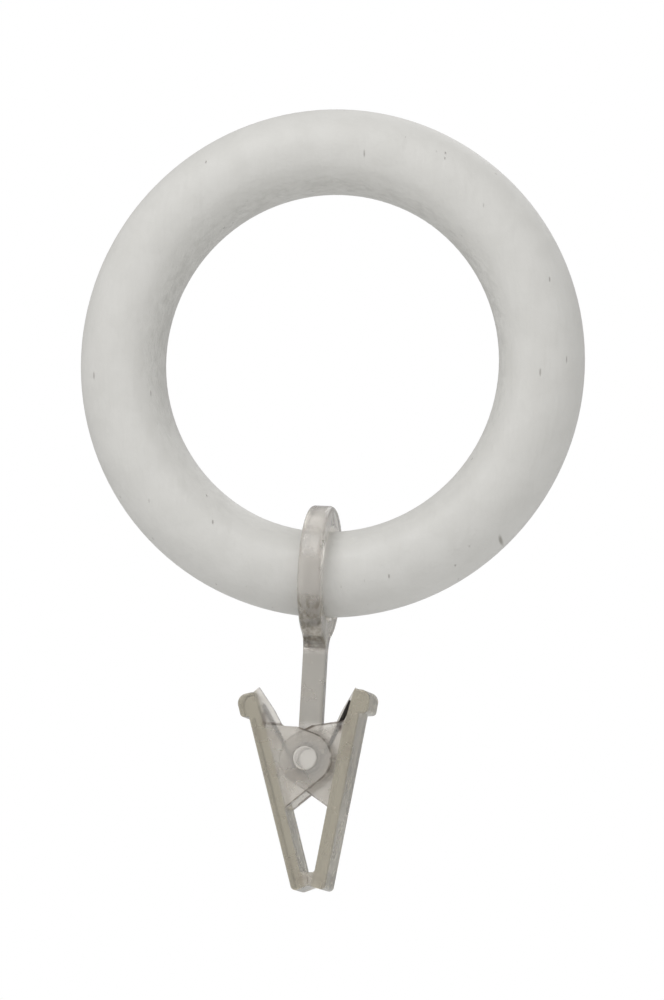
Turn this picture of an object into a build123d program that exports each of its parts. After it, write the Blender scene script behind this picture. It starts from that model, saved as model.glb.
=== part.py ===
from build123d import *
import math
import os

# Wooden curtain ring with a plastic hanger and a sprung clip.
# Millimetres, origin at the centre of the ring, +Y along the pole, +Z up.

# Wooden ring: a turned round section with a narrow flat on its bore and its rim
ring_bore_d = 40.0
ring_section_d = 10.0
ring_land = 1.4

# Hanger: a loop round the wood, a stem and an eye with the cross pin of the clip
loop_slack = 1.0
loop_seat_gap = 0.35
loop_wall = 2.45
loop_width = 2.7
body_edge_r = 0.5
loop_bore_edge_r = 0.3
neck_fillet_r = 2.2
stem_length = 14.0
stem_depth = 2.5
eye_r = 3.05
eye_thickness = 0.95
eye_fillet_r = 1.4
pin_r = 1.41
pin_proud = 0.1
pin_chamfer = 0.12
hanger_slide = 3.3
clip_tilt = -1.3

# Jaws: one moulding, used twice, the second one turned half round
clip_width = 6.4
cheek_thickness = 0.7
cheek_r = 3.15
cheek_lower_angle = 37.0
running_gap = 0.07
pin_clearance = 0.05
plate_clearance = 0.6
plate_thickness = 1.55
plate_lean = 12.65
plate_edge_r = 0.3
lever_height = 7.95
lever_taper_start = 3.0
lever_tip_thickness = 1.1
tab_out = 0.93
tab_height = 2.9
tab_top_drop = 0.35
tab_top_r = 1.15
tab_lower_r = 0.45
jaw_reach = 14.95
pad_height = 1.55
pad_gap = 0.04
pad_root_r = 0.3
tip_bevel = 18.5
tip_r = 0.55

# Outer cheek: its web runs up the lever to a sharp peak, past the lever's end
peak_rise = 0.52
peak_inset = 0.84
web_knee_drop = 2.22
web_knee_inset = 2.57
web_foot_rise = 0.19
web_foot_run = 1.90
web_fillet_r = 0.7
cheek_top_end = 0.7
cheek_top = 3.68
# Inner cheek: a plain sloping top edge
inner_root_rise = 1.0
inner_top_end = 0.77
inner_top_rise = 0.16
inner_top_slope = 6.7

# Torsion spring: close turns round the pin, one leg on each lever
wire_d = 0.54
coil_clearance = 0.06
coil_room_gap = 0.13
coil_end_gap = 0.04
coil_whole_turns = 2
coil_arcs = 8
coil_ease_angle = 28.0
leg_lean = 27.0
leg_seat_gap = 0.05

# Worked out from the sizes above
ring_bore_r = ring_bore_d / 2
ring_outer_r = ring_bore_r + ring_section_d
ring_mid_r = ring_bore_r + ring_section_d / 2
loop_bore_r = (ring_section_d + loop_slack) / 2
loop_outer_r = loop_bore_r + loop_wall
loop_drop = ring_outer_r + loop_seat_gap - loop_bore_r
pin_drop = loop_drop + loop_outer_r + stem_length
pin_hole_r = pin_r + pin_clearance
outer_cheek_y = clip_width / 2 - cheek_thickness
inner_cheek_y = outer_cheek_y - running_gap - cheek_thickness
inner_half = inner_cheek_y - running_gap
eye_back_y = stem_depth / 2
eye_front_y = eye_back_y - eye_thickness
inner_face = cheek_r + plate_clearance
outer_face = inner_face + plate_thickness
coil_r = pin_r + coil_clearance + wire_d / 2
coil_back_y = eye_front_y - coil_end_gap - wire_d / 2
coil_front_y = -(inner_half - coil_end_gap - wire_d / 2)
coil_sweep = 180.0 - 2 * leg_lean + 360.0 * coil_whole_turns
coil_start_angle = 180.0 + leg_lean
cut_margin = 1.0
match_tolerance = 0.01

os.makedirs("parts", exist_ok=True)


def plate_point(distance, height):
    """Point of the left jaw's plate, at a distance from the pin square to the plate."""
    lean = math.radians(plate_lean)
    return (-(distance + height * math.sin(lean)) / math.cos(lean), height)


def polar(radius, degrees):
    """Point on a circle round the pin."""
    angle = math.radians(degrees)
    return (radius * math.cos(angle), radius * math.sin(angle))


def tangent_angle(point, radius):
    """Direction of the point where a line from a point above meets a circle on its right."""
    reach = math.hypot(*point)
    return math.degrees(math.atan2(point[1], point[0]) - math.acos(radius / reach))


def round_corner(face, point, radius):
    """Rounds the corner of a flat face that lies nearest to a point."""
    corner = face.vertices().sort_by_distance(point)[0]
    return fillet(corner, radius)


def slab(face, low_y, high_y):
    """Extrudes a face drawn in X and Z between two places along Y."""
    return extrude(Plane.XZ.offset(-high_y) * face, high_y - low_y)


def rod(radius, low_y, high_y):
    """Cylinder along Y, round the pin."""
    return slab(Circle(radius), low_y, high_y)


def lever_line():
    """Lower and upper end of the tapered inner face of the left lever."""
    lower = plate_point(inner_face, lever_taper_start)
    back = plate_point(outer_face, lever_height)
    across = lever_tip_thickness / math.cos(math.radians(plate_lean))
    return lower, (back[0] + across, lever_height)


def build_ring():
    """Turned wooden ring."""
    turned_r = math.hypot(ring_section_d / 2, ring_land / 2)
    disc = Pos(ring_mid_r, 0) * Circle(turned_r)
    trim = Pos(ring_mid_r, 0) * Rectangle(ring_section_d, 2 * ring_section_d)
    section = Plane.XY * (disc & trim)
    return revolve(section, Axis.Y)


def build_hanger():
    """Loop, stem, eye and cross pin, moulded as one, hanging straight down."""
    outline = Pos(0, -loop_drop) * Circle(loop_outer_r)
    stem_middle = -(loop_drop + pin_drop) / 2
    outline += Pos(0, stem_middle) * Rectangle(stem_depth, pin_drop - loop_drop)
    neck_z = -(loop_drop + math.sqrt(loop_outer_r**2 - (stem_depth / 2) ** 2))
    for side in (-1, 1):
        outline = round_corner(outline, (side * stem_depth / 2, neck_z), neck_fillet_r)
    outline -= Pos(0, -loop_drop) * Circle(loop_bore_r)
    body = extrude(Plane.YZ * outline, loop_width / 2, both=True)

    def on_bore(edge):
        round_edge = edge.geom_type == GeomType.CIRCLE
        return round_edge and abs(edge.radius - loop_bore_r) < match_tolerance

    def on_outline(edge):
        middle = edge @ 0.5
        on_side = abs(abs(middle.X) - loop_width / 2) < match_tolerance
        return on_side and not on_bore(edge) and middle.Z > match_tolerance - pin_drop

    body = fillet(body.edges().filter_by(on_outline), body_edge_r)
    body = fillet(body.edges().filter_by(on_bore), loop_bore_edge_r)
    at_pin = Pos(0, 0, -pin_drop)
    # The stem's full depth ends above the coil, and only the eye goes on to the pin
    coil_room = coil_r + wire_d / 2 + coil_room_gap
    body -= at_pin * rod(coil_room, -stem_depth / 2 - cut_margin, eye_front_y)
    eye_top = eye_r + eye_fillet_r
    eye = Circle(eye_r) + Pos(0, eye_top / 2) * Rectangle(loop_width, eye_top)
    eye_shoulder_z = math.sqrt(eye_r**2 - (loop_width / 2) ** 2)
    for side in (-1, 1):
        eye = round_corner(eye, (side * loop_width / 2, eye_shoulder_z), eye_fillet_r)
    eye = slab(eye, eye_front_y, eye_back_y)

    def on_eye_rim(edge):
        middle = edge @ 0.5
        behind = abs(middle.Y - eye_back_y) < match_tolerance
        return behind and middle.Z < eye_top - match_tolerance

    body += at_pin * fillet(eye.edges().filter_by(on_eye_rim), body_edge_r)
    pin_half = clip_width / 2 + pin_proud
    pin = rod(pin_r, -pin_half, pin_half)
    pin = chamfer(pin.edges().filter_by(GeomType.CIRCLE), pin_chamfer)
    return body + at_pin * pin


def plate_outline():
    """Side view of the left jaw's plate, from its pad up to its lever and tab."""
    bevel = math.tan(math.radians(tip_bevel))
    lean = math.radians(plate_lean)
    pad_x = -pad_gap / 2
    corner_drop = (outer_face - jaw_reach * math.sin(lean)) / (math.cos(lean) + math.sin(lean) * bevel)
    tip_corner = (-corner_drop, -jaw_reach - corner_drop * bevel)
    pad_root = plate_point(inner_face, pad_height - jaw_reach)
    lower, upper = lever_line()
    tab_top = plate_point(outer_face + tab_out, lever_height - tab_top_drop)
    tab_lower = plate_point(outer_face + tab_out, lever_height - tab_height)
    tab_root = plate_point(outer_face, lever_height - tab_height)
    points = [
        (pad_x, -jaw_reach),
        (pad_x, pad_height - jaw_reach),
        pad_root,
        lower,
        upper,
        tab_top,
        tab_lower,
        tab_root,
        tip_corner,
    ]
    face = make_face(Polyline(*points, close=True))
    face = round_corner(face, pad_root, pad_root_r)
    face = round_corner(face, tab_top, tab_top_r)
    face = round_corner(face, tab_lower, tab_lower_r)
    return round_corner(face, tip_corner, tip_r)


def cheek_outline(top_points):
    """Side view of a cheek: its top edge, the arc round the pin and its lower edge."""
    start = tangent_angle(top_points[-1], cheek_r)
    end = cheek_lower_angle - 90.0
    leave = polar(cheek_r, end)
    slope = math.radians(cheek_lower_angle)
    lean = math.radians(plate_lean)
    heart = inner_face + plate_thickness / 2
    # The lower edge runs from the arc into the heart of the plate
    reach = (heart + leave[0] * math.cos(lean) + leave[1] * math.sin(lean)) / math.cos(slope - lean)
    root = (leave[0] - reach * math.cos(slope), leave[1] - reach * math.sin(slope))
    upper_arc = ThreePointArc(
        polar(cheek_r, start), polar(cheek_r, (start + end) / 2), leave
    )
    edge = Polyline(*top_points, polar(cheek_r, start))
    back = Polyline(leave, root, plate_point(heart, top_points[0][1] / 2), top_points[0])
    return make_face(edge.edges() + upper_arc.edges() + back.edges())


def build_jaw():
    """Left jaw: plate with lever, tab and pad, an outer cheek in front and an inner one behind."""
    half = clip_width / 2
    plate = slab(plate_outline(), -half, half)
    lean = math.radians(plate_lean)

    def on_rim(edge):
        middle = edge @ 0.5
        distance = -middle.X * math.cos(lean) - middle.Z * math.sin(lean)
        on_side = abs(abs(middle.Y) - half) < match_tolerance
        return on_side and distance > outer_face - plate_edge_r

    plate = fillet(plate.edges().filter_by(on_rim), plate_edge_r)
    lower, upper = lever_line()
    peak = (upper[0] + peak_inset, upper[1] + peak_rise)
    web_knee = (upper[0] + web_knee_inset, lever_height - web_knee_drop)
    web_foot = (-cheek_top_end - web_foot_run, cheek_top + web_foot_rise)
    web_top = [
        ((upper[0] + plate_point(outer_face, lever_height)[0]) / 2, lever_height - plate_edge_r),
        (upper[0], lever_height - plate_edge_r / 2),
        peak,
        web_knee,
        web_foot,
        (-cheek_top_end, cheek_top),
    ]
    outer_cheek = round_corner(cheek_outline(web_top), web_foot, web_fillet_r)
    slope = math.tan(math.radians(inner_top_slope))
    edge_start = plate_point(inner_face + plate_thickness / 2, cheek_top + inner_root_rise)
    inner_top = cheek_top + inner_top_rise
    inner_start = (edge_start[0], inner_top + (-edge_start[0] - inner_top_end) * slope)
    inner_cheek = cheek_outline([inner_start, (-inner_top_end, inner_top)])
    jaw = plate
    jaw += slab(outer_cheek, -half, -outer_cheek_y)
    jaw += slab(inner_cheek, inner_cheek_y, inner_cheek_y + cheek_thickness)
    return jaw - rod(pin_hole_r, -half - cut_margin, half + cut_margin)


def coil_point(turned):
    """Point of the coil's centreline, at an angle from its rear end, which lies at the left."""
    ease = coil_ease_angle
    left = coil_sweep - turned
    gone = turned - ease / 2
    if turned < ease:
        gone = turned**2 / (2 * ease)
    elif left < ease:
        gone = coil_sweep - ease - left**2 / (2 * ease)
    share = gone / (coil_sweep - ease)
    x, z = polar(coil_r, coil_start_angle + turned)
    return Vector(x, coil_back_y + share * (coil_front_y - coil_back_y), z)


def build_spring():
    """Torsion spring of round wire: its left leg leaves the coil behind, its right leg in front."""
    lower, upper = lever_line()
    run = math.hypot(upper[0] - lower[0], upper[1] - lower[1])
    normal = ((lower[1] - upper[1]) / run, (upper[0] - lower[0]) / run)
    room = normal[0] * lower[0] + normal[1] * lower[1] - wire_d / 2 - leg_seat_gap
    lean = math.radians(leg_lean)
    along = (-math.sin(lean), math.cos(lean))
    foot = polar(coil_r, coil_start_angle)
    gone = normal[0] * foot[0] + normal[1] * foot[1]
    leg_length = (room - gone) / (normal[0] * along[0] + normal[1] * along[1])
    # The coil's line is a chain of arcs, each from one even-numbered point to the next
    step = coil_sweep / (2 * coil_arcs)
    points = [coil_point(step * count) for count in range(2 * coil_arcs + 1)]
    arcs = [ThreePointArc(*points[at : at + 3]) for at in range(0, 2 * coil_arcs, 2)]
    left_leg = Line(points[0] + Vector(along[0], 0, along[1]) * leg_length, points[0])
    right_leg = Line(points[-1], points[-1] + Vector(-along[0], 0, along[1]) * leg_length)
    path = Wire([left_leg, *arcs, right_leg])
    section = Plane(origin=path @ 0, z_dir=path % 0) * Circle(wire_d / 2)
    return sweep(section, path, transition=Transition.TRANSFORMED)


def clip_place():
    """Where the pin's middle lies, with the clip's own tilt."""
    slide = math.radians(hanger_slide)
    middle = Pos(-pin_drop * math.sin(slide), 0, -pin_drop * math.cos(slide))
    return middle * Rot(0, clip_tilt, 0)


jaw = build_jaw()
export_step(build_ring(), "parts/wooden_ring.step")
export_step(Rot(0, hanger_slide, 0) * build_hanger(), "parts/hanger.step")
export_step(clip_place() * jaw, "parts/jaw_left.step")
export_step(clip_place() * Rot(0, 0, 180) * jaw, "parts/jaw_right.step")
export_step(clip_place() * build_spring(), "parts/spring.step")
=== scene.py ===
"""Looks of a wooden curtain ring with a clear plastic hanger and a sprung clip.

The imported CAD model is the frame. The ring, the hanger and the two jaws keep their CAD shapes and
get their finishes here. The torsion spring is made again in three pieces, so that each of its legs
moves with the lever that it pushes. Lengths are in metres and angles in degrees, with +Y along the
pole, +Z up and the origin at the centre of the ring's hole.
"""

from __future__ import annotations

import logging
import math
from dataclasses import dataclass
from enum import Enum

import bpy
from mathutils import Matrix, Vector

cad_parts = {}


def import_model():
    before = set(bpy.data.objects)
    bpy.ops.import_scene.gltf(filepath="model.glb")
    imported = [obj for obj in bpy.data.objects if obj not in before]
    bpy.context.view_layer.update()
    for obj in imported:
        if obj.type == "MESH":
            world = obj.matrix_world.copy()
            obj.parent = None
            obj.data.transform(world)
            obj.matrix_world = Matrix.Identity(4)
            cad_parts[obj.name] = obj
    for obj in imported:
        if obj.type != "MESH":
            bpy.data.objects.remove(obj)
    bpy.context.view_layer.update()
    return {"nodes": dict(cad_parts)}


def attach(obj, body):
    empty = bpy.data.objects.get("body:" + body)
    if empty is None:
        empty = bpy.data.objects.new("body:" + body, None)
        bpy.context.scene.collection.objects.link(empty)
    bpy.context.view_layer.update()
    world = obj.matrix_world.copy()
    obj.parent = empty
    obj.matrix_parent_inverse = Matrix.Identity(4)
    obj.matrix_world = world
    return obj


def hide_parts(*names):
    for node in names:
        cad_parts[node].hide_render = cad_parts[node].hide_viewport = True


LOG = logging.getLogger("curtain_ring")
MM = 0.001
# Centre of the hanger's pin, and the clip's lean on it
PIN = (-2.6940 * MM, 0.0, -46.7224 * MM)
CLIP_TILT = 1.3
WHITE = (1.0, 1.0, 1.0, 1.0)


class Side(Enum):
    """The two sides of the clip, seen from the front."""

    LEFT = -1
    RIGHT = 1


class Value:
    """A number that comes out of a socket. Sums and products of it add Math nodes."""

    def __init__(self, graph: Graph, socket: bpy.types.NodeSocket) -> None:
        """Keeps the socket and the graph that it belongs to."""
        self.graph = graph
        self.socket = socket

    def math(self, operation: str, *others: Value | float) -> Value:
        """Adds a Math node.

        Args:
            operation: The node's operation.
            others: What goes in after this value.

        Returns:
            The node's result.
        """
        inputs = dict(enumerate((self, *others)))
        return self.graph.node("ShaderNodeMath", {"operation": operation}, inputs)

    def __add__(self, other: Value | float) -> Value:
        """This value plus another."""
        return self.math("ADD", other)

    __radd__ = __add__

    def __sub__(self, other: Value | float) -> Value:
        """This value less another."""
        return self.math("SUBTRACT", other)

    def __rsub__(self, other: float) -> Value:
        """A number less this value."""
        return self.math("MULTIPLY", -1.0) + other

    def __mul__(self, other: Value | float) -> Value:
        """This value times another."""
        return self.math("MULTIPLY", other)

    __rmul__ = __mul__

    def between(self, low: float, high: float) -> Value:
        """Share of the way from low to high, eased at both ends."""
        settings = {"interpolation_type": "SMOOTHSTEP"}
        inputs = {"Value": self, "From Min": low, "From Max": high}
        return self.graph.node("ShaderNodeMapRange", settings, inputs)


Input = Value | float | tuple


class Graph:
    """A node tree that is being built, for a material or the world."""

    def __init__(self, tree: bpy.types.NodeTree) -> None:
        """Empties the tree."""
        self.tree = tree
        tree.nodes.clear()

    @classmethod
    def material(cls, name: str) -> tuple[Graph, bpy.types.Material]:
        """Starts a new material.

        Args:
            name: The material's name.

        Returns:
            Its graph and the material.
        """
        material = bpy.data.materials.new(name)
        material.use_nodes = True
        return cls(material.node_tree), material

    def node(
        self, kind: str, settings: dict, inputs: dict[int | str, Input], output: int | str = 0
    ) -> Value:
        """Adds a node.

        Args:
            kind: The node's type.
            settings: Its settings, which are set first.
            inputs: Values or links, by the socket's name or number.
            output: The socket that the result comes from.

        Returns:
            The result.
        """
        made = self.tree.nodes.new(kind)
        for name, setting in settings.items():
            setattr(made, name, setting)
        for key, given in inputs.items():
            if isinstance(given, Value):
                self.tree.links.new(given.socket, made.inputs[key])
            else:
                made.inputs[key].default_value = given
        return Value(self, made.outputs[output]) if len(made.outputs) else Value(self, None)

    def place(self) -> Value:
        """Object coordinates, in metres."""
        return self.node("ShaderNodeTexCoord", {}, {}, "Object")

    def scaled(self, vector: Value, scale: tuple, turn: tuple = (0.0, 0.0, 0.0)) -> Value:
        """A vector turned and scaled by a Mapping node."""
        inputs = {"Vector": vector, "Rotation": turn, "Scale": scale}
        return self.node("ShaderNodeMapping", {}, inputs)

    def vector(self, operation: str, *inputs: Input, output: str = "Vector") -> Value:
        """Adds a Vector Math node.

        Args:
            operation: The node's operation.
            inputs: What goes in.
            output: The socket that the result comes from.

        Returns:
            The node's result.
        """
        settings = {"operation": operation}
        return self.node("ShaderNodeVectorMath", settings, dict(enumerate(inputs)), output)

    def length(self, vector: Value) -> Value:
        """Length of a vector."""
        return self.vector("LENGTH", vector, output="Value")

    def along(self, vector: Value, axis: str) -> Value:
        """Part of a vector along one axis."""
        return self.node("ShaderNodeSeparateXYZ", {}, {"Vector": vector}, axis)

    def total(self, values: list[Value]) -> Value:
        """Sum of some values."""
        result = values[0]
        for value in values[1:]:
            result = result + value
        return result

    def mixed(self, share: Value, first: tuple | Value, second: tuple | Value) -> Value:
        """A colour between two others."""
        first_colour, second_colour, mixed_colour = 6, 7, 2
        inputs = {"Factor": share, first_colour: first, second_colour: second}
        return self.node("ShaderNodeMix", {"data_type": "RGBA"}, inputs, mixed_colour)

    def bump(self, height: Value, depth: float, strength: float) -> Value:
        """A normal from a height.

        Args:
            height: The height, from 0 to 1.
            depth: What a height of 1 stands for, in metres.
            strength: Share of the bump that shows.

        Returns:
            The normal.
        """
        inputs = {"Height": height, "Distance": depth, "Strength": strength}
        return self.node("ShaderNodeBump", {}, inputs)

    def surface(self, shader: Value, volume: Value | None = None) -> None:
        """Joins the shader, and a volume if there is one, to the output."""
        inputs = {"Surface": shader}
        if volume is not None:
            inputs["Volume"] = volume
        self.node("ShaderNodeOutputMaterial", {}, inputs)


@dataclass(frozen=True)
class Pattern:
    """Noise of one size in a finish.

    Its share goes into the colour and its height into the bump. A stretch below 1 draws it out
    along the part's height.
    """

    per_metre: float
    detail: float = 3.0
    noise_roughness: float = 0.5
    stretch: float = 1.0
    levels: tuple | None = None
    share: float = 0.0
    height: float = 0.0

    def amount(self, graph: Graph, place: Value) -> Value:
        """The pattern's strength at a place.

        Args:
            graph: The finish that it is part of.
            place: Object coordinates.

        Returns:
            Plain noise, or its share of the way between the two levels where they are given.
        """
        if self.stretch != 1.0:
            place = graph.scaled(place, (1.0, 1.0, self.stretch))
        inputs = {
            "Vector": place,
            "Scale": self.per_metre,
            "Detail": self.detail,
            "Roughness": self.noise_roughness,
        }
        noise = graph.node("ShaderNodeTexNoise", {}, inputs)
        return noise.between(*self.levels) if self.levels else noise


@dataclass(frozen=True)
class StainAndShade:
    """Darker patch through a piece, front to back, in the part's frame; used for stains and for
    painted shade.
    """

    x: float
    z: float
    half_width: float
    half_height: float
    strength: float
    full_to: float = 0.2

    def amount(self, graph: Graph, place: Value) -> Value:
        """Its strength in the patch's middle, 0 at its edge and outside."""
        away = graph.vector("SUBTRACT", place, (self.x, 0.0, self.z))
        reach = graph.scaled(away, (1.0 / self.half_width, 0.0, 1.0 / self.half_height))
        return (1.0 - graph.length(reach).between(self.full_to, 1.0)) * self.strength


@dataclass(frozen=True)
class PaintedWood:
    """White satin paint over turned wood: open pores along the grain, rough paint and painted shade
    in the bore.
    """

    colour: tuple = (0.630, 0.622, 0.597, 1.0)
    dull_colour: tuple = (0.570, 0.562, 0.535, 1.0)
    pore_colour: tuple = (0.27, 0.255, 0.225, 1.0)
    bore_streak_and_shade_colour: tuple = (0.44, 0.435, 0.41, 1.0)
    mottle: Pattern = Pattern(260.0, 4.0, levels=(0.36, 0.66), share=0.35, height=0.4)
    grain: Pattern = Pattern(2200.0, 3.0, 0.6, stretch=0.1, share=0.2, height=0.3)
    strokes: Pattern = Pattern(
        420.0, 2.0, stretch=0.22, levels=(0.46, 0.62), share=0.1, height=0.2
    )
    sheen: Pattern = Pattern(420.0, share=0.16)
    least_roughness: float = 0.44
    pores_per_metre: float = 1050.0
    pore_stretch: float = 0.2
    pore_size: tuple = (0.03, 0.13)
    pore_chance: tuple = (0.74, 0.84)
    pore_share: float = 0.5
    pore_depth: float = 0.9
    # The bore's paint is rough near the hole's edge, by radius, and in its upper part, by height;
    # the bore is darkened with painted shade, most in its upper part, which faces down
    bore_edge: tuple = (23.4 * MM, 21.9 * MM)
    bore_shade_share: float = 0.12
    bore_depth: float = 0.6
    wander: Pattern = Pattern(130.0)
    wander_width: float = 1.6 * MM
    rough_edge: tuple = (22.2 * MM, 20.8 * MM)
    rough_edge_share: float = 0.75
    rough_and_shaded_from: tuple = (-14.0 * MM, 6.0 * MM)
    rough_and_shaded_from_share: float = 0.7
    streaks_round: float = 16.0
    streaks_across: float = 1500.0
    streak_detail: float = 3.0
    streak_roughness: float = 0.55
    streak_levels: tuple = (0.38, 0.66)
    streak_share: float = 0.36
    streak_height: float = 2.6
    scratch: StainAndShade = StainAndShade(20.4 * MM, -21.4 * MM, 0.28 * MM, 0.75 * MM, 0.85)
    scratch_front: tuple = (1.0 * MM, -1.0 * MM)
    bump_depth: float = 0.14 * MM
    bump_strength: float = 0.8
    ior: float = 1.45

    def material(self) -> bpy.types.Material:
        """Builds the painted finish."""
        graph, material = Graph.material("white_paint")
        place = graph.place()
        patterns = (self.mottle, self.grain, self.strokes)
        amounts = [pattern.amount(graph, place) for pattern in patterns]
        dull = [amount * pattern.share for pattern, amount in zip(patterns, amounts)]
        raised = [amount * pattern.height for pattern, amount in zip(patterns, amounts)]
        pores = self.pores(graph, place)
        bore, streaks, rough = self.bore(graph, place)
        shown = streaks.between(*self.streak_levels) * rough * self.streak_share
        colour = graph.mixed(graph.total(dull), self.colour, self.dull_colour)
        colour = graph.mixed(pores * self.pore_share, colour, self.pore_colour)
        # Painted shade: the whole bore is darkened a little, and its streaks more in its upper part
        colour = graph.mixed(bore * (shown + self.bore_shade_share), colour, self.bore_streak_and_shade_colour)
        front = graph.along(place, "Y").between(*self.scratch_front)
        scratch = self.scratch.amount(graph, place) * front
        colour = graph.mixed(scratch, colour, self.pore_colour)
        height = graph.total(raised) - pores * self.pore_depth
        height = height + streaks * bore * rough * self.streak_height - bore * self.bore_depth
        shader = graph.node(
            "ShaderNodeBsdfPrincipled",
            {},
            {
                "Base Color": colour,
                "Roughness": self.sheen.amount(graph, place) * self.sheen.share
                + self.least_roughness,
                "IOR": self.ior,
                "Normal": graph.bump(height, self.bump_depth, self.bump_strength),
            },
        )
        graph.surface(shader)
        return material

    def pores(self, graph: Graph, place: Value) -> Value:
        """Thin ticks along the grain, which runs up the ring. Only some cells have one.

        Args:
            graph: The paint's nodes.
            place: Object coordinates.

        Returns:
            1 in a pore's middle, 0 between the pores.
        """
        stretched = graph.scaled(place, (1.0, 1.0, self.pore_stretch))
        cell = {"Vector": stretched, "Scale": self.pores_per_metre, "Randomness": 1.0}
        away = graph.node("ShaderNodeTexVoronoi", {}, cell, "Distance")
        drawn = graph.node("ShaderNodeTexVoronoi", {}, cell, "Color")
        chance = graph.node("ShaderNodeSeparateColor", {}, {"Color": drawn}, "Red")
        return (1.0 - away.between(*self.pore_size)) * chance.between(*self.pore_chance)

    def bore(self, graph: Graph, place: Value) -> tuple[Value, Value, Value]:
        """The painted bore, whose brush streaks are long round the ring and narrow across it.

        Args:
            graph: The paint's nodes.
            place: Object coordinates.

        Returns:
            1 in the bore and 0 on the face, the streaks' noise, and how rough and how shaded the
            paint is there.
        """
        inputs = {"X": graph.along(place, "X"), "Z": graph.along(place, "Z")}
        flat = graph.node("ShaderNodeCombineXYZ", {}, inputs)
        radius = graph.length(flat)
        wander = (self.wander.amount(graph, place) - 0.5) * self.wander_width
        bore = (radius + wander).between(*self.bore_edge)
        streak_place = graph.vector(
            "MULTIPLY_ADD",
            graph.vector("NORMALIZE", flat),
            (self.streaks_round,) * 3,
            graph.scaled(place, (0.0, self.streaks_across, 0.0)),
        )
        streaks = graph.node(
            "ShaderNodeTexNoise",
            {"noise_dimensions": "4D"},
            {
                "Vector": streak_place,
                "W": radius * self.streaks_across,
                "Scale": 1.0,
                "Detail": self.streak_detail,
                "Roughness": self.streak_roughness,
            },
        )
        # Painted shade: streaks darken more in the bore's upper part, which faces down
        upper = graph.along(place, "Z").between(*self.rough_and_shaded_from) * self.rough_and_shaded_from_share
        inner = (radius + wander).between(*self.rough_edge) * self.rough_edge_share
        rough = (upper + (1.0 - self.rough_and_shaded_from_share)) * (inner + (1.0 - self.rough_edge_share))
        return bore, streaks, rough


@dataclass(frozen=True)
class ClearPlastic:
    """Aged clear plastic: pale and hazy where it is thin, smoky where it is deep."""

    name: str
    colour: tuple
    depth_colour: tuple
    depth_density: float
    clearness: float
    least_roughness: float = 0.20
    dirt_and_shade_colour: tuple = (0.20, 0.145, 0.125, 1.0)
    cloud_colour: tuple = (0.52, 0.45, 0.39, 1.0)
    haze: Pattern = Pattern(150.0, share=0.2)
    cloud: Pattern = Pattern(380.0, 4.0, levels=(0.5, 0.72), share=0.3)
    cloud_roughness: float = 0.14
    ripple: Pattern = Pattern(700.0, stretch=0.25, height=1.0)
    grit: Pattern = Pattern(2400.0, 2.0, height=0.3)
    specks_per_metre: float = 900.0
    speck_size: tuple = (0.05, 0.16)
    speck_height: float = 0.3
    stains_and_shades: tuple[StainAndShade, ...] = ()
    patch_edge: Pattern = Pattern(1500.0, levels=(0.36, 0.58))
    bump_depth: float = 0.05 * MM
    bump_strength: float = 0.45
    ior: float = 1.49

    def tone(self, graph: Graph, place: Value) -> Value:
        """Colour of the plastic's skin at a place, before clouds, stains and painted shade."""
        haze = self.haze.amount(graph, place) * self.haze.share
        return graph.mixed(haze, self.colour, self.cloud_colour)

    def material(self) -> bpy.types.Material:
        """Builds the plastic finish."""
        graph, material = Graph.material(self.name)
        place = graph.place()
        cloud = self.cloud.amount(graph, place)
        cell = {"Vector": place, "Scale": self.specks_per_metre}
        away = graph.node("ShaderNodeTexVoronoi", {}, cell, "Distance")
        speck = 1.0 - away.between(*self.speck_size)
        tone = self.tone(graph, place)
        colour = graph.mixed(cloud * self.cloud.share, tone, self.cloud_colour)
        ragged = self.patch_edge.amount(graph, place)
        # Darken each listed patch: some are stains, some are painted shade
        for patch in self.stains_and_shades:
            colour = graph.mixed(patch.amount(graph, place) * ragged, colour, self.dirt_and_shade_colour)
        raised = [
            pattern.amount(graph, place) * pattern.height for pattern in (self.ripple, self.grit)
        ]
        height = graph.total([*raised, speck * self.speck_height])
        shader = graph.node(
            "ShaderNodeBsdfPrincipled",
            {},
            {
                "Base Color": colour,
                "Roughness": cloud * self.cloud_roughness + self.least_roughness,
                "IOR": self.ior,
                "Transmission Weight": self.clearness,
                "Normal": graph.bump(height, self.bump_depth, self.bump_strength),
            },
        )
        inputs = {"Color": self.depth_colour, "Density": self.depth_density}
        graph.surface(shader, graph.node("ShaderNodeVolumeAbsorption", {}, inputs))
        return material


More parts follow.
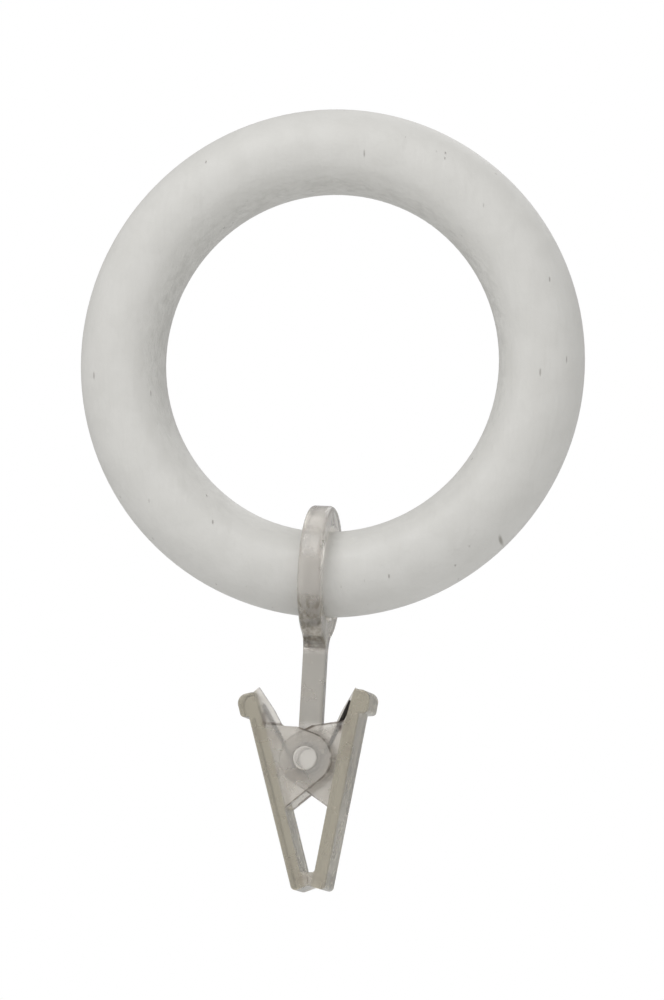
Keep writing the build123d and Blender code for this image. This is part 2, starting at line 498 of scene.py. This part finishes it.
@dataclass(frozen=True)
class JawPlastic(ClearPlastic):
    """Plastic of one jaw, whose plate is 6.4 mm deep and whose cheeks are thin."""

    name: str = "jaw_plastic"
    side: Side = Side.LEFT
    colour: tuple = (0.975, 0.955, 0.92, 1.0)
    plate_colour: tuple = (0.68, 0.65, 0.57, 1.0)
    rim_colour: tuple = (0.20, 0.155, 0.12, 1.0)
    depth_colour: tuple = (0.80, 0.78, 0.725, 1.0)
    depth_density: float = 380.0
    clearness: float = 0.78
    least_roughness: float = 0.21
    pin: tuple = PIN
    tilt: float = CLIP_TILT
    plate_lean: float = 12.65
    plate_from: float = 3.45 * MM
    plate_to: float = 3.85 * MM
    cheek_r: float = 3.15 * MM
    cheek_ends: tuple = (-53.0, 68.0)
    cheek_top: float = 3.72 * MM
    cheek_top_slope: float = 6.2
    rim_width: tuple = (0.05 * MM, 0.24 * MM)
    rim_patches: Pattern = Pattern(1300.0, levels=(0.30, 0.55), share=0.9)
    # In order: left lever, left arm, painted shade at the foot of the right spring leg, painted
    # shade between the pads, both pads, right plate
    stains_and_shades: tuple[StainAndShade, ...] = (
        StainAndShade(-7.59 * MM, -42.1 * MM, 0.55 * MM, 1.5 * MM, 0.6),
        StainAndShade(-4.49 * MM, -54.0 * MM, 0.45 * MM, 1.5 * MM, 0.7),
        StainAndShade(1.30 * MM, -43.1 * MM, 0.5 * MM, 0.9 * MM, 0.9),
        StainAndShade(-2.69 * MM, -60.2 * MM, 0.35 * MM, 0.25 * MM, 0.9),
        StainAndShade(-2.50 * MM, -60.6 * MM, 2.6 * MM, 1.4 * MM, 0.24),
        StainAndShade(2.55 * MM, -46.0 * MM, 1.0 * MM, 9.0 * MM, 0.22),
    )

    def tone(self, graph: Graph, place: Value) -> Value:
        """Smoky in the plate, pale in the cheeks, darker along the cheeks' rims.

        Args:
            graph: The plastic's nodes.
            place: Object coordinates.

        Returns:
            The colour.
        """
        from_pin = graph.vector("SUBTRACT", place, self.pin)
        turn = (0.0, math.radians(self.tilt), 0.0)
        local = graph.scaled(from_pin, (1.0, 1.0, 1.0), turn)
        across = graph.along(local, "X") * -self.side.value
        up = graph.along(local, "Z")
        # Darker along the cheeks' rims, in patches
        rim = self.rim(across, up) * self.rim_patches.amount(graph, place) * self.rim_patches.share
        colour = graph.mixed(rim, super().tone(graph, place), self.rim_colour)
        lean = math.radians(self.plate_lean)
        out = across * -math.cos(lean) - up * math.sin(lean)
        in_plate = out.between(self.plate_from, self.plate_to)
        return graph.mixed(in_plate, colour, self.plate_colour)

    def rim(self, across: Value, up: Value) -> Value:
        """The edge of the cheeks: their arc, their lower edge and their top edge.

        Args:
            across: Distance from the pin, away from the jaw's plate.
            up: Height above the pin.

        Returns:
            1 along the edge, 0 away from it.
        """
        lower, upper = (math.radians(end) for end in self.cheek_ends)
        angle = up.math("ARCTAN2", across)
        beyond = (lower - angle).math("MAXIMUM", angle - upper).math("MAXIMUM", 0.0)
        radius = (across * across + up * up).math("SQRT")
        arc = radius * beyond.math("COSINE") - self.cheek_r
        slope = math.radians(self.cheek_top_slope)
        top = up * math.cos(slope) + across * math.sin(slope) - self.cheek_top
        return 1.0 - arc.math("MAXIMUM", top).math("ABSOLUTE").between(*self.rim_width)


@dataclass(frozen=True)
class HangerPlastic(ClearPlastic):
    """Plastic of the hanger: pale loop with streaks and painted shade at its foot, grey stem, pale
    pin.
    """

    name: str = "hanger_plastic"
    colour: tuple = (0.975, 0.955, 0.93, 1.0)
    stem_colour: tuple = (0.57, 0.55, 0.51, 1.0)
    streak_and_shade_colour: tuple = (0.36, 0.32, 0.24, 1.0)
    depth_colour: tuple = (0.80, 0.78, 0.73, 1.0)
    depth_density: float = 170.0
    clearness: float = 0.78
    stem_top: float = -34.0 * MM
    stem_foot: float = -42.6 * MM
    streak_and_shade_top: float = -28.2 * MM
    streaks: Pattern = Pattern(2100.0, 2.0, stretch=0.12, levels=(0.40, 0.62), share=0.6)
    foot_shade_share: float = 0.15
    ease: float = 0.7 * MM
    # Painted shadow on the neck under the loop; a darker patch at the top of the loop
    stains_and_shades: tuple[StainAndShade, ...] = (
        StainAndShade(-2.2 * MM, -33.6 * MM, 1.5 * MM, 0.9 * MM, 0.3),
        StainAndShade(-2.4 * MM, -20.2 * MM, 1.6 * MM, 1.0 * MM, 0.14),
    )

    def tone(self, graph: Graph, place: Value) -> Value:
        """Grey in the stem, with streaks and painted shade in the loop's foot, which faces down.

        Args:
            graph: The plastic's nodes.
            place: Object coordinates.

        Returns:
            The colour.
        """
        height = graph.along(place, "Z")
        below_loop = self.below(height, self.stem_top)
        above_eye = 1.0 - self.below(height, self.stem_foot)
        # Painted shade: the loop's foot, which faces down, is darkened, with its streaks on top
        foot = self.below(height, self.streak_and_shade_top) * (1.0 - below_loop)
        lines = self.streaks.amount(graph, place) * self.streaks.share + self.foot_shade_share
        colour = graph.mixed(foot * lines, super().tone(graph, place), self.streak_and_shade_colour)
        return graph.mixed(below_loop * above_eye, colour, self.stem_colour)

    def below(self, height: Value, level: float) -> Value:
        """1 below a level, 0 above it, eased between."""
        return height.between(level + self.ease, level - self.ease)


@dataclass(frozen=True)
class SpringSteel:
    """Dark oiled spring wire, worn bright in patches."""

    colour: tuple = (0.035, 0.031, 0.028, 1.0)
    worn_colour: tuple = (0.11, 0.10, 0.09, 1.0)
    wear: Pattern = Pattern(900.0, 4.0, levels=(0.45, 0.7), share=0.6)
    metallic: float = 0.75
    least_roughness: float = 0.32
    worn_roughness: float = 0.2
    pitting: Pattern = Pattern(4000.0, 2.0)
    bump_depth: float = 0.01 * MM
    bump_strength: float = 0.5

    def material(self) -> bpy.types.Material:
        """Builds the wire's finish."""
        graph, material = Graph.material("spring_steel")
        place = graph.place()
        wear = self.wear.amount(graph, place)
        pits = self.pitting.amount(graph, place)
        shader = graph.node(
            "ShaderNodeBsdfPrincipled",
            {},
            {
                "Base Color": graph.mixed(wear * self.wear.share, self.colour, self.worn_colour),
                "Metallic": self.metallic,
                "Roughness": wear * self.worn_roughness + self.least_roughness,
                "Normal": graph.bump(pits, self.bump_depth, self.bump_strength),
            },
        )
        graph.surface(shader)
        return material


class WireMaker:
    """Sweeps a round wire along a line with Geometry Nodes."""

    def __init__(self, material: bpy.types.Material, facets: int = 20) -> None:
        """Builds the node tree.

        Args:
            material: The wire's finish.
            facets: Sides of its round section.
        """
        self.tree = bpy.data.node_groups.new("round_wire", "GeometryNodeTree")
        face = self.tree.interface
        face.new_socket("Line", in_out="INPUT", socket_type="NodeSocketGeometry")
        radius = face.new_socket("Wire radius", in_out="INPUT", socket_type="NodeSocketFloat")
        sides = face.new_socket("Sides", in_out="INPUT", socket_type="NodeSocketInt")
        finish = face.new_socket("Finish", in_out="INPUT", socket_type="NodeSocketMaterial")
        face.new_socket("Wire", in_out="OUTPUT", socket_type="NodeSocketGeometry")
        self.radius_input = radius.identifier
        self.values = {sides.identifier: facets, finish.identifier: material}
        new = self.tree.nodes.new
        given = new("NodeGroupInput")
        section = new("GeometryNodeCurvePrimitiveCircle")
        swept = new("GeometryNodeCurveToMesh")
        smooth = new("GeometryNodeSetShadeSmooth")
        real = new("GeometryNodeRealizeInstances")
        dressed = new("GeometryNodeSetMaterial")
        result = new("NodeGroupOutput")
        swept.inputs["Fill Caps"].default_value = True
        join = self.tree.links.new
        join(given.outputs["Sides"], section.inputs["Resolution"])
        join(given.outputs["Wire radius"], section.inputs["Radius"])
        join(given.outputs["Line"], swept.inputs["Curve"])
        join(section.outputs["Curve"], swept.inputs["Profile Curve"])
        join(swept.outputs["Mesh"], smooth.inputs["Geometry"])
        join(smooth.outputs["Geometry"], real.inputs["Geometry"])
        join(real.outputs["Geometry"], dressed.inputs["Geometry"])
        join(given.outputs["Finish"], dressed.inputs["Material"])
        join(dressed.outputs["Geometry"], result.inputs["Wire"])

    def wire(self, name: str, line: list[Vector], radius: float) -> bpy.types.Object:
        """Makes one piece of wire as a plain mesh.

        Args:
            name: The piece's name.
            line: Points of its centreline, in the part's frame.
            radius: The wire's radius.

        Returns:
            The piece, at the origin.
        """
        curve = bpy.data.curves.new(name + "_line", "CURVE")
        curve.dimensions = "3D"
        curve.twist_mode = "MINIMUM"
        spline = curve.splines.new("POLY")
        spline.points.add(len(line) - 1)
        for point, place in zip(spline.points, line):
            point.co = (*place, 1.0)
        carrier = bpy.data.objects.new(name + "_line", curve)
        bpy.context.scene.collection.objects.link(carrier)
        modifier = carrier.modifiers.new("wire", "NODES")
        modifier.node_group = self.tree
        modifier[self.radius_input] = radius
        for identifier, value in self.values.items():
            modifier[identifier] = value
        graph = bpy.context.evaluated_depsgraph_get()
        mesh = bpy.data.meshes.new_from_object(carrier.evaluated_get(graph), depsgraph=graph)
        carrier.modifiers.clear()
        bpy.data.objects.remove(carrier)
        bpy.data.curves.remove(curve)
        mesh.name = name
        piece = bpy.data.objects.new(name, mesh)
        bpy.context.scene.collection.objects.link(piece)
        return piece


@dataclass
class TorsionSpring:
    """Torsion spring round the pin: a coil on the clip's middle and one leg on each lever."""

    pin: tuple = PIN
    tilt: float = CLIP_TILT
    coil_r: float = 1.74 * MM
    wire_d: float = 0.54 * MM
    back_y: float = -0.01 * MM
    front_y: float = -1.35 * MM
    leg_lean: float = 27.0
    leg_length: float = 8.344 * MM
    whole_turns: int = 2
    ease: float = 28.0
    overlap: float = 24.0
    step: float = 4.0
    leg_swell: float = 1.004

    def sweep(self) -> float:
        """Angle that the coil turns through."""
        return 180.0 - 2 * self.leg_lean + 360.0 * self.whole_turns

    def point(self, turned: float) -> Vector:
        """Point of the coil's centreline, at an angle from its rear end.

        Args:
            turned: The angle in degrees.

        Returns:
            The point, in the part's frame.
        """
        left = self.sweep() - turned
        gone = turned - self.ease / 2
        if turned < self.ease:
            gone = turned**2 / (2 * self.ease)
        elif left < self.ease:
            gone = self.sweep() - self.ease - left**2 / (2 * self.ease)
        share = gone / (self.sweep() - self.ease)
        angle = math.radians(180.0 + self.leg_lean + self.tilt + turned)
        y = self.back_y + share * (self.front_y - self.back_y)
        across = Vector((math.cos(angle), 0.0, math.sin(angle))) * self.coil_r
        return Vector(self.pin) + across + Vector((0.0, y, 0.0))

    def arc(self, start: float, end: float) -> list[Vector]:
        """Points of the coil between two angles."""
        count = math.ceil(abs(end - start) / self.step)
        return [self.point(start + (end - start) * at / count) for at in range(count + 1)]

    def leg(self, side: Side) -> list[Vector]:
        """Line of one leg, with the stretch of coil that it slides along as its lever opens.

        Args:
            side: The lever's side of the clip.

        Returns:
            Points from the leg's tip to the end of its stretch of coil.
        """
        end = 0.0 if side is Side.LEFT else self.sweep()
        inside = self.overlap if side is Side.LEFT else self.sweep() - self.overlap
        lean = math.radians(self.leg_lean)
        tilt = math.radians(self.tilt)
        x, z = side.value * math.sin(lean), math.cos(lean)
        way = Vector(
            (x * math.cos(tilt) - z * math.sin(tilt), 0.0, x * math.sin(tilt) + z * math.cos(tilt))
        )
        return [self.point(end) + way * self.leg_length, *self.arc(end, inside)]

    def build(self, maker: WireMaker) -> None:
        """Makes the three pieces and sets what each rides on."""
        radius = self.wire_d / 2
        coil = maker.wire("spring_coil", self.arc(0.0, self.sweep()), radius)
        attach(coil, "clip")
        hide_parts("spring")
        pieces = [coil]
        for side, body in ((Side.LEFT, "left_jaw"), (Side.RIGHT, "right_jaw")):
            name = f"spring_leg_{side.name.lower()}"
            leg = maker.wire(name, self.leg(side), radius * self.leg_swell)
            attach(leg, body)
            pieces.append(leg)
        for piece in pieces:
            LOG.info("%s: %d faces", piece.name, len(piece.data.polygons))


@dataclass
class RingAndClip:
    """The CAD pieces that keep their shapes and get their finishes here."""

    wood: PaintedWood = PaintedWood()
    hanger_plastic: HangerPlastic = HangerPlastic()

    def dress(self, nodes: dict[str, bpy.types.Object]) -> None:
        """Gives each CAD node its finish.

        Args:
            nodes: The frame's nodes, by name.
        """
        self.finish(nodes["wooden_ring"], self.wood.material())
        self.finish(nodes["hanger"], self.hanger_plastic.material())
        for side in Side:
            name = f"jaw_{side.name.lower()}"
            self.finish(nodes[name], JawPlastic(name=name + "_plastic", side=side).material())

    def finish(self, node: bpy.types.Object, material: bpy.types.Material) -> None:
        """Puts one material on a whole node."""
        node.data.materials.clear()
        node.data.materials.append(material)
        LOG.info("%s: %s", node.name, material.name)


@dataclass(frozen=True)
class Lamp:
    """A square soft lamp."""

    name: str
    place: tuple
    size: float
    power: float


@dataclass
class Studio:
    """Camera, lamps, pale floor and white surround."""

    azimuth: float = 9.8
    elevation: float = -5.0
    distance: float = 1.2
    target: tuple = (0.0, 0.0, -16.18 * MM)
    frame_height: float = 117.6 * MM
    sensor: float = 36.0
    clip: tuple = (0.01, 20.0)
    floor_z: float = -0.16
    floor_r: float = 4.0
    floor_colour: tuple = (0.80, 0.80, 0.795, 1.0)
    floor_fade: tuple = (0.20, 0.62)
    ambient: float = 0.64
    mirrored: float = 0.42
    lamps: tuple[Lamp, ...] = (
        Lamp("key", (-0.22, -0.50, 0.54), 0.55, 2.9),
        Lamp("fill", (0.55, -0.45, 0.0), 0.60, 0.5),
        Lamp("back", (0.20, 0.58, 0.50), 0.50, 1.1),
    )

    def build(self) -> None:
        """Builds the whole set."""
        self.camera()
        for lamp in self.lamps:
            self.hang(lamp)
        self.world()
        self.floor()
        bpy.context.scene.view_settings.view_transform = "Standard"

    def camera(self) -> None:
        """Camera at the photograph's viewing angle, far away with a long lens."""
        around, up = math.radians(self.azimuth), math.radians(self.elevation)
        back = Vector(
            (math.sin(around) * math.cos(up), -math.cos(around) * math.cos(up), math.sin(up))
        )
        data = bpy.data.cameras.new("camera")
        data.sensor_width = self.sensor
        data.lens = self.sensor * self.distance / self.frame_height
        data.clip_start, data.clip_end = self.clip
        camera = bpy.data.objects.new("camera", data)
        camera.location = Vector(self.target) + back * self.distance
        camera.rotation_euler = (-back).to_track_quat("-Z", "Y").to_euler()
        bpy.context.scene.collection.objects.link(camera)
        bpy.context.scene.camera = camera

    def hang(self, lamp: Lamp) -> None:
        """Hangs a lamp so that it faces the part.

        Args:
            lamp: Its place, size and power.
        """
        data = bpy.data.lights.new(lamp.name, "AREA")
        data.size = lamp.size
        data.energy = lamp.power
        hung = bpy.data.objects.new(lamp.name, data)
        hung.location = lamp.place
        hung.visible_camera = False
        way = Vector(self.target) - Vector(lamp.place)
        hung.rotation_euler = way.to_track_quat("-Z", "Y").to_euler()
        bpy.context.scene.collection.objects.link(hung)

    def rays(self, graph: Graph, kind: str) -> Value:
        """1 for one kind of ray, 0 for the others."""
        return graph.node("ShaderNodeLightPath", {}, {}, f"Is {kind} Ray")

    def seen(self, graph: Graph) -> Value:
        """1 for camera and transmission rays, which show the white surround."""
        return self.rays(graph, "Camera").math("MAXIMUM", self.rays(graph, "Transmission"))

    def world(self) -> None:
        """White surround for the eye, soft light for the part, dimmer in its reflections."""
        world = bpy.data.worlds.new("surround")
        world.use_nodes = True
        bpy.context.scene.world = world
        graph = Graph(world.node_tree)
        mirrored = self.rays(graph, "Glossy") * (self.mirrored - self.ambient)
        strength = self.seen(graph).math("MULTIPLY_ADD", 1.0 - self.ambient, mirrored + self.ambient)
        strength = strength.math("MINIMUM", 1.0)
        light = graph.node("ShaderNodeBackground", {}, {"Color": WHITE, "Strength": strength})
        graph.node("ShaderNodeOutputWorld", {}, {"Surface": light})

    def floor(self) -> None:
        """Pale floor that fades into the surround, so that it has no edge."""
        corners = [
            (self.floor_r * x, self.floor_r * y, self.floor_z)
            for x, y in ((-1, -1), (1, -1), (1, 1), (-1, 1))
        ]
        mesh = bpy.data.meshes.new("floor")
        mesh.from_pydata(corners, [], [(0, 1, 2, 3)])
        graph, material = Graph.material("pale_floor")
        fade = graph.length(graph.place()).between(*self.floor_fade)
        pale = graph.node("ShaderNodeBsdfDiffuse", {}, {"Color": self.floor_colour})
        white = graph.node("ShaderNodeEmission", {}, {"Color": WHITE, "Strength": 1.0})
        inputs = {0: fade * self.seen(graph), 1: pale, 2: white}
        mixed = graph.node("ShaderNodeMixShader", {}, inputs)
        graph.surface(mixed)
        mesh.materials.append(material)
        floor = bpy.data.objects.new("floor", mesh)
        bpy.context.scene.collection.objects.link(floor)


def main() -> None:
    """Loads the frame and builds the looks round it."""
    logging.basicConfig(level=logging.INFO, format="%(name)s %(message)s")
    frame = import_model()
    RingAndClip().dress(frame["nodes"])
    TorsionSpring().build(WireMaker(SpringSteel().material()))
    Studio().build()


if __name__ == "__main__":
    main()
